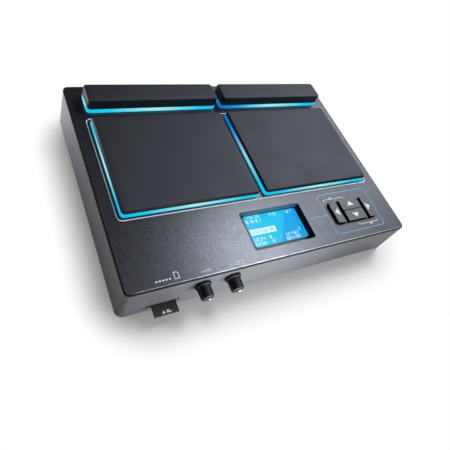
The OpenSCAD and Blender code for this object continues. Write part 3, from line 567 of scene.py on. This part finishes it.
def round_path(x0, x1, y0, y1, r):
    """Points of a rectangle with round corners, counter-clockwise."""
    corners = ((x1 - r, y1 - r), (x0 + r, y1 - r), (x0 + r, y0 + r), (x1 - r, y0 + r))
    points = []
    for quarter, (x, y) in enumerate(corners):
        for k in range(CORNER_STEPS + 1):
            a = math.radians(90 * (quarter + k / CORNER_STEPS))
            points.append((x + r * math.cos(a), y + r * math.sin(a)))
    return points


def inset_path(low, high, inset, r):
    """Round path that lies inset from the sides of a box."""
    return round_path(low.x + inset, high.x - inset, low.y + inset, high.y - inset, r)


def at_height(path, z):
    """Points of a flat path at a height."""
    return [(x, y, z) for x, y in path]


def skin(bm, loops):
    """Faces between each loop of vertices and the next."""
    for a, b in zip(loops, loops[1:]):
        for i in range(len(a)):
            j = (i + 1) % len(a)
            bm.faces.new((a[i], a[j], b[j], b[i]))


def loft(bm, rings):
    """Closed skin through rings of points with equal counts, capped at both ends."""
    loops = [[bm.verts.new(p) for p in ring] for ring in rings]
    skin(bm, loops)
    bm.faces.new(loops[0])
    bm.faces.new(loops[-1])


def lathe(bm, x, y, profile, steps=32):
    """Closed solid turned about a vertical axis at x, y from (radius, z) points."""
    turns = [2 * math.pi * k / steps for k in range(steps)]
    loft(bm, [[(x + r * math.cos(a), y + r * math.sin(a), z) for a in turns] for r, z in profile])


def prism(bm, outline, z, height):
    """Flat solid of an outline."""
    loft(bm, [at_height(outline, z), at_height(outline, z + height)])


def band(bm, outer, inner, z, height):
    """Flat closed band between two outlines with equal counts."""
    levels = ((outer, z), (outer, z + height), (inner, z + height), (inner, z))
    loops = [[bm.verts.new(p) for p in at_height(path, level)] for path, level in levels]
    skin(bm, loops + loops[:1])


def stroke(bm, path, width, z=PANEL_Z, closed=False):
    """Printed line of a width along a path, with mitred joins."""
    count = len(path)
    left, right = [], []
    for i, p in enumerate(path):
        here = Vector(p)
        before = Vector(path[i - 1]) if closed or i > 0 else here
        after = Vector(path[(i + 1) % count]) if closed or i < count - 1 else here
        a = (here - before).normalized() if before != here else (after - here).normalized()
        b = (after - here).normalized() if after != here else a
        side = Vector((-(a + b).y, (a + b).x)).normalized()
        reach = width / 2 / max(LEAST_MITRE, side.dot(Vector((-a.y, a.x))))
        left.append(here + side * reach)
        right.append(here - side * reach)
    if closed:
        band(bm, left, right, z, INK_T)
    else:
        prism(bm, left + right[::-1], z, INK_T)


# Rubber pads and bars

RING_R = 4 * MM
SKIRT_IN = 1.5 * MM
SKIRT_T = 2 * MM
RUBBER_IN = 0.4 * MM
PAD_LEAN = 0.8 * MM
BAR_LEAN = 0.2 * MM
OVERHANG = 0.8 * MM
LIP = 0.3 * MM
LEAST_R = 0.6 * MM
PAD_FILLET = 1.2 * MM
BAR_FILLET = 1.5 * MM
FILLET_STEPS = 6
CROWN = 0.15 * MM
CROWN_STEPS = ((0.12, 0.35), (0.35, 0.75), (0.7, 1.0))
PLUG_R = 2.5 * MM
PLUG_HEAD = 4.2 * MM
PLUG_HEAD_T = 2 * MM
PLUG_TAPER = 1 * MM
PLUG_TAPER_T = 0.8 * MM
PLUG_IN = 22 * MM


def plug_places(low, high):
    """Middles of the plugs that hold a rubber in the panel: four on a deep pad, two on a bar."""
    xs = (low.x + PLUG_IN, high.x - PLUG_IN)
    deep = high.y - low.y > 3 * PLUG_IN
    ys = (low.y + PLUG_IN, high.y - PLUG_IN) if deep else ((low.y + high.y) / 2,)
    return [(x, y) for x in xs for y in ys]


def rubber_pad(pad):
    """Rubber of a pad or bar: plate recess, skirt, overhang, leaning side, round edge, crown."""
    node = pad + "_rubber"
    low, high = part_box(pad + "_ring")
    foot, top = (corner.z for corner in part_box(node))
    plate_low, plate_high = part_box(pad + "_plate")
    is_bar = pad.endswith("bar")
    fillet, lean = (BAR_FILLET, BAR_LEAN) if is_bar else (PAD_FILLET, PAD_LEAN)
    under = high.z + OVERHANG
    plate_in = SKIRT_IN + SKIRT_T
    wall_in = RUBBER_IN + lean
    half_d = (high.y - low.y) / 2
    levels = [
        (plate_in, plate_high.z), (plate_in, plate_low.z), (SKIRT_IN, plate_low.z),
        (SKIRT_IN, under), (RUBBER_IN + LIP, under), (RUBBER_IN, under + LIP),
        (wall_in, top - CROWN - fillet)]
    for k in range(1, FILLET_STEPS + 1):
        a = math.radians(90 * k / FILLET_STEPS)
        rounded = wall_in + fillet * (1 - math.cos(a))
        levels.append((rounded, top - CROWN - fillet * (1 - math.sin(a))))
    edge = wall_in + fillet
    for share, rise in CROWN_STEPS:
        levels.append((edge + share * (half_d - edge), top - CROWN * (1 - rise)))
    bm = bmesh.new()
    rings = []
    for inset, z in levels:
        path = inset_path(low, high, inset, max(LEAST_R, RING_R - inset))
        rings.append(at_height(path, z))
    loft(bm, rings)
    neck = foot + PLUG_HEAD_T
    for x, y in plug_places(low, high):
        lathe(bm, x, y, [
            (PLUG_HEAD - PLUG_TAPER, foot), (PLUG_HEAD, foot + PLUG_TAPER_T), (PLUG_HEAD, neck),
            (PLUG_R, neck), (PLUG_R, plate_high.z)])
    piece = new_piece(pad + "_skin", bm, pad_finish, pad)
    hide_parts(node)


# Foam cushions

FOAM_R = 1.2 * MM
FOAM_EDGE = 0.4 * MM
FOAM_WAIST = 0.15 * MM
SENSOR_ROOM = 0.8 * MM
PLUG_ROOM = 0.3 * MM
CUT_PAST = 1 * MM


def cut_out(piece, holes):
    """Cuts the solids of a bmesh out of a piece."""
    cutter = add_object("cutter", holes)
    cut = piece.modifiers.new("holes", "BOOLEAN")
    cut.object = cutter
    cut.solver = "EXACT"
    bpy.context.view_layer.update()
    evaluated = piece.evaluated_get(bpy.context.evaluated_depsgraph_get())
    done = bpy.data.meshes.new_from_object(evaluated)
    piece.modifiers.clear()
    piece.data = done
    bpy.data.objects.remove(cutter)


def foam_cushion(pad):
    """Foam under a strike plate, with holes for the sensor and plugs."""
    node = pad + "_cushion"
    low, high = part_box(node)
    levels = (
        (FOAM_EDGE, low.z), (0, low.z + FOAM_EDGE), (FOAM_WAIST, (low.z + high.z) / 2),
        (0, high.z - FOAM_EDGE), (FOAM_EDGE, high.z))
    bm = bmesh.new()
    loft(bm, [at_height(inset_path(low, high, inset, FOAM_R), z) for inset, z in levels])
    piece = new_piece(pad + "_foam", bm, foam_finish, "case")
    sensor_low, sensor_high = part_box(pad + "_sensor")
    cuts = [(middle(node), (sensor_high.x - sensor_low.x) / 2 + SENSOR_ROOM)]
    cuts += [(at, PLUG_R + PLUG_ROOM) for at in plug_places(*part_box(pad + "_ring"))]
    holes = bmesh.new()
    for (x, y), r in cuts:
        lathe(holes, x, y, [(r, low.z - CUT_PAST), (r, high.z + CUT_PAST)])
    cut_out(piece, holes)
    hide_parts(node)
    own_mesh(piece)


# Feet

FOOT_R = 9 * MM
FOOT_EDGE = 1.2 * MM
FOOT_DISH = 0.35 * MM
FOOT_STEPS = 48


def rubber_feet():
    """Turned feet with a round edge and a shallow dish underneath."""
    low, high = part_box("rubber_feet")
    r = FOOT_R
    profile = [
        (0.5 * r, low.z + FOOT_DISH), (0.68 * r, low.z + 0.4 * FOOT_DISH), (0.74 * r, low.z),
        (r - FOOT_EDGE, low.z), (r - 0.3 * FOOT_EDGE, low.z + 0.3 * FOOT_EDGE),
        (r, low.z + FOOT_EDGE), (r, high.z)]
    bm = bmesh.new()
    for x in (low.x + r, high.x - r):
        for y in (low.y + r, high.y - r):
            lathe(bm, x, y, profile, FOOT_STEPS)
    piece = new_piece("feet", bm, foot_finish, "case")
    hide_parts("rubber_feet")


# Display: a digit has a width, height and stroke; a row has its text, and x and y in mm

GLASS_R = 0.6 * MM
MASK_R = 2.6 * MM
MASK_LEFT, MASK_RIGHT, MASK_FRONT, MASK_BACK = 11.5 * MM, 3 * MM, 9.6 * MM, 3.4 * MM
DISPLAY_IN = 3 * MM
DIGIT = (2.4 * MM, 3.5 * MM, 0.45 * MM)
BLOCK_DIGIT = (1.7 * MM, 3.5 * MM, 0.5 * MM)
DIGIT_GAP = 1.1 * MM
SEGMENT_GAP = 0.06 * MM
SEGMENTS = {
    "0": "abcdef", "1": "bc", "2": "abged", "3": "abgcd", "4": "fgbc", "5": "afgcd",
    "6": "afgedc", "7": "abc", "8": "abcdefg", "9": "abcdfg", "-": "g", " ": ""}
DISPLAY_ROWS = (
    ("120:08", 10.8, 39.8), ("440:", 40.8, 39.0), ("127", 61.6, 38.8), ("016:01", 10.2, 34.8),
    ("0034: 8", 10.6, 13.4), ("0256:-12", 9.8, 8.6),
    ("3", 68.6, 16.2), ("127:82", 48.9, 12.4), ("064:99", 48.9, 7.7))
BLOCKS_AT = (10 * MM, 20.3 * MM)
BLOCKS_W = 32 * MM
BLOCK_H = 6.8 * MM
BLOCK_COUNT = 9
BLOCK_SHARE = 0.88
BLOCK_DIGITS = "12345678"
BLOCK_DIGIT_IN = 0.22
BLOCK_DIGIT_UP = 1.6 * MM


def rectangle(bm, x0, y0, x1, y1, z):
    """Printed rectangle."""
    prism(bm, [(x0, y0), (x1, y0), (x1, y1), (x0, y1)], z, INK_T)


def digit_bars(char, w, h, t):
    """Segments, as x0, y0, x1, y1, of a digit of width w and height h, which don't touch."""
    if char == ":":
        return [(0, 0.2 * h, t, 0.2 * h + t), (0, 0.7 * h, t, 0.7 * h + t)]
    near, far = t + SEGMENT_GAP, w - t - SEGMENT_GAP
    half = h / 2
    lower, upper = half - SEGMENT_GAP / 2, half + SEGMENT_GAP / 2
    bars = {
        "a": (near, h - t, far, h), "g": (near, half - t / 2, far, half + t / 2),
        "d": (near, 0, far, t), "b": (w - t, upper, w, h), "c": (w - t, 0, w, lower),
        "e": (0, 0, t, lower), "f": (0, upper, t, h)}
    return [bars[k] for k in SEGMENTS[char]]


def digits(bm, words, x, y, z, w, h, t):
    """A row of digits that starts at x, y."""
    for char in words:
        for x0, y0, x1, y1 in digit_bars(char, w, h, t):
            rectangle(bm, x + x0, y + y0, x + x1, y + y1, z)
        x += (t if char == ":" else w) + DIGIT_GAP


def display():
    """Back-lit display under its cover, with its border and rows of plain digits and blocks."""
    low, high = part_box("display_glass")
    top = high.z - 2 * INK_T
    outer = inset_path(low, high, 0, GLASS_R)
    glass = bmesh.new()
    prism(glass, outer, low.z, top - low.z)
    piece = new_piece("display_panel", glass, display_finish, "case")
    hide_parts("display_glass")
    mask = bmesh.new()
    inner = round_path(
        low.x + MASK_LEFT, high.x - MASK_RIGHT, low.y + MASK_FRONT, high.y - MASK_BACK, MASK_R)
    band(mask, outer, inner, top, INK_T)
    new_piece("display_mask", mask, mask_ink, "case")
    x0, y0 = low.x + DISPLAY_IN, low.y + DISPLAY_IN
    pale = bmesh.new()
    for words, x, y in DISPLAY_ROWS:
        digits(pale, words, x0 + x * MM, y0 + y * MM, top, *DIGIT)
    block_x, block_y = x0 + BLOCKS_AT[0], y0 + BLOCKS_AT[1]
    pitch = BLOCKS_W / BLOCK_COUNT
    for k in range(BLOCK_COUNT):
        left = block_x + k * pitch
        rectangle(pale, left, block_y, left + BLOCK_SHARE * pitch, block_y + BLOCK_H, top)
    new_piece("display_marks", pale, display_pale, "case")
    dark = bmesh.new()
    for k, char in enumerate(BLOCK_DIGITS):
        left = block_x + (k + BLOCK_DIGIT_IN) * pitch
        digits(dark, char, left, block_y + BLOCK_DIGIT_UP, top + INK_T, *BLOCK_DIGIT)
    new_piece("display_inverse", dark, display_dark, "case")


# Prints on the panel

OUTLINE_W = 1.0 * MM
OUTLINE_R = 5 * MM
OUTLINE_SIDE, OUTLINE_FRONT, OUTLINE_BACK = 3.2 * MM, 2.8 * MM, 3 * MM
FRAME_W = 0.7 * MM
FRAME_R = 4 * MM
FRAME_HALF_W, FRAME_FRONT, FRAME_BACK = 37.1 * MM, 25.1 * MM, 26.3 * MM
FRAME_TIE_IN = 2 * MM
BRACKET_W = 0.6 * MM
BRACKET_RISE = 2.4 * MM
BRACKET_BEND = 0.3
BRACKET_OUT = 3.2 * MM
BRACKET_END = 1 * MM
DASH_W = 1.0 * MM
DASH_HALF = 2.2 * MM
DASH_OUT = 1.8 * MM
DASH_FROM_LEFT = 12 * MM
DASH_FROM_RIGHT = 14 * MM
LABEL_IN = 5.3 * MM
CARD_SIGN = (4.1 * MM, 6.0 * MM, 1.4 * MM)
CARD_SIGN_AT = (4.8 * MM, 0.2 * MM)
CARD_SIGN_W = 0.6 * MM
LABEL_COUNT = 5
LABEL_DASH_AT = (-13.3 * MM, 1.2 * MM)
LABEL_DASH_PITCH = 3.1 * MM
LABEL_DASH_L = 2.0 * MM
LABEL_DASH_W = 1.4 * MM
TICK_PITCH = {"volume_knob": 2.0 * MM, "phones_knob": 3.3 * MM}
TICK_SHIFT = 0.9 * MM
TICK_W = 1.1 * MM
TICK_L = 1.0 * MM
TICK_GROWS = 0.35 * MM


def print_piece(name, finish, draw):
    """Print on the panel that a function draws."""
    bm = bmesh.new()
    draw(bm)
    new_piece(name, bm, finish, "case")


def pad_outline(bm):
    """White line round both large pads."""
    left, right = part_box("left_pad_ring")[0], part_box("right_pad_ring")[1]
    path = round_path(left.x - OUTLINE_SIDE, right.x + OUTLINE_SIDE,
                      left.y - OUTLINE_FRONT, right.y + OUTLINE_BACK, OUTLINE_R)
    stroke(bm, path, OUTLINE_W, closed=True)


def buttons_middle():
    """Middle of the row of buttons along X."""
    return (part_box("left_button")[0].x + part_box("right_button")[1].x) / 2


def button_frame(bm):
    """Blue line round the buttons, and the line that ties it to the display."""
    x, y = buttons_middle(), middle("left_button")[1]
    path = round_path(x - FRAME_HALF_W, x + FRAME_HALF_W, y - FRAME_FRONT, y + FRAME_BACK, FRAME_R)
    stroke(bm, path, FRAME_W, closed=True)
    display_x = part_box("display_glass")[1].x
    stroke(bm, [(display_x + FRAME_TIE_IN, y), (x - FRAME_HALF_W, y)], FRAME_W)


def bracket(bm, x0, x1, y, rise):
    """Shallow bracket with turned-in ends."""
    turn = abs(rise)
    bend_x, bend_y = BRACKET_BEND * turn, y - BRACKET_BEND * rise
    path = [(x0, y - rise), (x0 + bend_x, bend_y), (x0 + turn, y),
            (x1 - turn, y), (x1 - bend_x, bend_y), (x1, y - rise)]
    stroke(bm, path, BRACKET_W)


def button_brackets(bm):
    """White brackets behind the left and upper buttons and before the others, with dashes."""
    left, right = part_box("left_button"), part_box("right_button")
    split = buttons_middle() - BRACKET_END
    back, front = left[1].y + BRACKET_OUT, left[0].y - BRACKET_OUT
    bracket(bm, left[0].x - BRACKET_END / 2, split, back, BRACKET_RISE)
    bracket(bm, split, right[1].x - BRACKET_END, front, -BRACKET_RISE)
    dashes = ((left[0].x + DASH_FROM_LEFT, back + DASH_OUT),
              (right[1].x - DASH_FROM_RIGHT, front - DASH_OUT))
    for x, y in dashes:
        stroke(bm, [(x - DASH_HALF, y), (x + DASH_HALF, y)], DASH_W)


def label_marks(bm):
    """Small white marks: card outline, dashes, and a row of ticks behind each knob."""
    card_x = middle("memory_card")[0]
    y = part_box("top_panel")[0].y + LABEL_IN
    w, h, cut = CARD_SIGN
    x0, y0 = card_x + CARD_SIGN_AT[0], y + CARD_SIGN_AT[1]
    sign = [(x0, y0), (x0 + w, y0), (x0 + w, y0 + h - cut), (x0 + w - cut, y0 + h), (x0, y0 + h)]
    stroke(bm, sign, CARD_SIGN_W, closed=True)
    dash_y = y + LABEL_DASH_AT[1]
    for k in range(LABEL_COUNT):
        x = card_x + LABEL_DASH_AT[0] + k * LABEL_DASH_PITCH
        stroke(bm, [(x, dash_y), (x + LABEL_DASH_L, dash_y)], LABEL_DASH_W)
    for name in KNOBS:
        for k in range(LABEL_COUNT):
            x = middle(name)[0] + TICK_SHIFT + (k - LABEL_COUNT // 2) * TICK_PITCH[name]
            stroke(bm, [(x, y), (x, y + TICK_L + k * TICK_GROWS)], TICK_W)


# Marks on the buttons, knobs and card

BUTTON_ARROW = (5.8 * MM, 9.8 * MM)
DOT_TURN = math.radians(135)
DOT_OUT = 4.4 * MM
DOT_PROFILE = ((1.2 * MM, 0), (1.1 * MM, 0.1 * MM), (0.7 * MM, 0.18 * MM), (0.2 * MM, 0.2 * MM))
DOT_STEPS = 24
CARD_ARROW = (2.8 * MM, 3.6 * MM)
CARD_ARROW_LEFT = 2.6 * MM
CARD_MARK_IN = 2.9 * MM
CARD_LINES = ((-0.9 * MM, 4.6 * MM), (0.6 * MM, 3.2 * MM))
CARD_LINE_START = 0.2 * MM
CARD_LINE_W = 1.0 * MM


def arrow(bm, x, y, z, length, width, turn):
    """Triangle whose tip points along turn degrees from +X."""
    c, s = math.cos(math.radians(turn)), math.sin(math.radians(turn))
    corners = ((length / 2, 0), (-length / 2, width / 2), (-length / 2, -width / 2))
    prism(bm, [(x + u * c - v * s, y + u * s + v * c) for u, v in corners], z, INK_T)


def button_arrows():
    """White triangle on each button."""
    for name, turn in BUTTON_TURNS.items():
        bm = bmesh.new()
        arrow(bm, *middle(name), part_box(name)[1].z, *BUTTON_ARROW, turn)
        new_piece(name + "_arrow", bm, white_ink, name)


def knob_dots():
    """White dot near the rim of each knob's front face."""
    for name in KNOBS:
        low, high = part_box(name)
        x, z = (low.x + high.x) / 2, (low.z + high.z) / 2
        bm = bmesh.new()
        lathe(bm, 0, 0, DOT_PROFILE, DOT_STEPS)
        place = (x + DOT_OUT * math.sin(DOT_TURN), low.y, z + DOT_OUT * math.cos(DOT_TURN))
        facing_front = Matrix.Rotation(math.radians(90), 4, "X")
        bmesh.ops.transform(bm, matrix=Matrix.Translation(place) @ facing_front, verts=bm.verts)
        new_piece(name + "_dot", bm, white_ink, name)


def card_mark():
    """Triangle and two lines on the card that show which way it goes in."""
    low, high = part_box("memory_card")
    x, y = middle("memory_card")[0], low.y + CARD_MARK_IN
    bm = bmesh.new()
    arrow(bm, x - CARD_ARROW_LEFT, y, high.z, *CARD_ARROW, 90)
    for up, end in CARD_LINES:
        stroke(bm, [(x + CARD_LINE_START, y + up), (x + end, y + up)], CARD_LINE_W, high.z)
    new_piece("memory_card_mark", bm, white_ink, "memory_card")


# Stage: the floor turns to plain white within a reach of a rounded rectangle under the part

FLOOR_HALF = 4.0
FLOOR_COLOUR = (0.95, 0.95, 0.95, 1)
FLOOR_R = 0.04
FLOOR_REACH = 0.042
FLOOR_LEAST = 0.22
FLOOR_SHIFT = (-0.005, 0.009, 0.0)
WORLD_LEVEL = 0.04


def floor_finish():
    """Pale finish that takes the shadow near the part, and is white to the camera further out."""
    mat = bpy.data.materials.new("floor_finish")
    mat.use_nodes = True
    n = Nodes(mat.node_tree)
    n.tree.nodes.clear()
    plain = n.add("ShaderNodeBsdfDiffuse")
    plain.inputs["Color"].default_value = FLOOR_COLOUR
    white = n.add("ShaderNodeEmission")
    white.inputs["Strength"].default_value = 1.0
    rays = n.add("ShaderNodeLightPath").outputs
    seen = n.math("MAXIMUM", rays["Is Camera Ray"], rays["Is Glossy Ray"])
    seen = n.math("MAXIMUM", seen, rays["Is Transmission Ray"])
    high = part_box("lower_case")[1]
    place = n.vector("ADD", n.add("ShaderNodeTexCoord").outputs["Object"], FLOOR_SHIFT)
    away = n.past_box(place, (high.x - FLOOR_R, high.y - FLOOR_R, 0.0))
    fade = n.span(away, FLOOR_R, FLOOR_R + FLOOR_REACH, FLOOR_LEAST,
                  interpolation_type="SMOOTHSTEP")
    mix = n.add("ShaderNodeMixShader")
    n.link(n.math("MULTIPLY", seen, fade), mix.inputs[0])
    n.link(plain.outputs[0], mix.inputs[1])
    n.link(white.outputs[0], mix.inputs[2])
    n.link(mix.outputs[0], n.add("ShaderNodeOutputMaterial").inputs["Surface"])
    return mat


def floor():
    """Wide floor that the feet stand on."""
    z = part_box("rubber_feet")[0].z
    mesh = bpy.data.meshes.new("floor")
    signs = ((-1, -1), (1, -1), (1, 1), (-1, 1))
    mesh.from_pydata([(x * FLOOR_HALF, y * FLOOR_HALF, z) for x, y in signs], [], [(0, 1, 2, 3)])
    mesh.materials.append(floor_finish())
    piece = bpy.data.objects.new("floor", mesh)
    bpy.context.scene.collection.objects.link(piece)


def world_light():
    """Low even light all round; the camera sees white."""
    world = bpy.data.worlds.new("studio")
    bpy.context.scene.world = world
    world.use_nodes = True
    n = Nodes(world.node_tree)
    back = n.tree.nodes["Background"]
    back.inputs["Color"].default_value = (1, 1, 1, 1)
    to_camera = n.add("ShaderNodeLightPath").outputs["Is Camera Ray"]
    n.link(n.span(to_camera, 0.0, 1.0, WORLD_LEVEL), back.inputs["Strength"])


# Lamps: name, place, aim, width, height, power, colour, and the stage piece that one leaves out

WHITE = (1.0, 1.0, 1.0)
COOL = (0.91, 0.95, 1.0)
ORIGIN = (0.0, 0.0, 0.0)
LAMPS = (
    ("key", (0.81, 0.63, 0.80), ORIGIN, 1.0, 0.8, 4.2, COOL, None),
    ("side", (0.98, 0.36, 0.60), ORIGIN, 0.8, 0.6, 2.5, COOL, None),
    ("over", (0.66, 0.25, 1.10), ORIGIN, 0.45, 0.28, 7.6, COOL, None),
    ("top", (-0.02, -0.05, 1.40), (-0.02, -0.05, 0.0), 0.25, 0.25, 2.2, WHITE, "floor"),
    ("rim", (0.60, -0.66, 0.72), ORIGIN, 0.5, 0.4, 1.2, WHITE, None),
    ("front", (-0.03, -0.245, 0.03), (-0.03, -0.13, 0.025), 0.12, 0.03, 0.50, WHITE, "floor"),
    ("left", (-0.24, 0.14, 0.04), (-0.171, 0.085, 0.025), 0.06, 0.03, 0.165, WHITE, "floor"),
)


def softbox(name, at, aim, width, height, power, colour, leaves_out):
    """Rectangular lamp; leaves_out names a stage piece that it doesn't light."""
    data = bpy.data.lights.new(name, "AREA")
    data.color = colour
    data.shape = "RECTANGLE"
    data.size = width
    data.size_y = height
    data.energy = power
    lamp = bpy.data.objects.new(name, data)
    bpy.context.scene.collection.objects.link(lamp)
    lamp.location = at
    lamp.visible_camera = False
    lamp.rotation_euler = (Vector(aim) - Vector(at)).to_track_quat("-Z", "Y").to_euler()
    if leaves_out:
        group = bpy.data.collections.new(name + "_leaves_out")
        group.objects.link(bpy.data.objects[leaves_out])
        lamp.light_linking.receiver_collection = group
        group.collection_objects[0].light_linking.link_state = "EXCLUDE"


def camera():
    """Camera that sees the part as the photograph does."""
    data = bpy.data.cameras.new("camera")
    data.lens = CAMERA_LENS
    data.shift_x, data.shift_y = CAMERA_SHIFT
    data.clip_start = CAMERA_NEAR
    cam = bpy.data.objects.new("camera", data)
    bpy.context.scene.collection.objects.link(cam)
    turn = (CAMERA_AIM - CAMERA_AT).to_track_quat("-Z", "Y").to_matrix().to_4x4()
    roll = Matrix.Rotation(CAMERA_ROLL, 4, "Z")
    cam.matrix_world = Matrix.Translation(CAMERA_AT) @ turn @ roll
    bpy.context.scene.camera = cam


camera()
dress_cad()
soften(BUTTON_TURNS, 0.45 * MM, 3)
soften(KNOBS + ("power_button",), 0.25 * MM, 2)
soften(("memory_card",), 0.2 * MM, 2)
soften(("top_panel",), 0.3 * MM, 2)
for pad in PADS:
    rubber_pad(pad)
    foam_cushion(pad)
rubber_feet()
display()
print_piece("pad_outline", white_ink, pad_outline)
print_piece("button_frame", blue_ink, button_frame)
print_piece("button_brackets", white_ink, button_brackets)
print_piece("label_marks", white_ink, label_marks)
button_arrows()
knob_dots()
card_mark()

floor()
world_light()
for lamp in LAMPS:
    softbox(*lamp)
bpy.context.scene.view_settings.view_transform = "Standard"
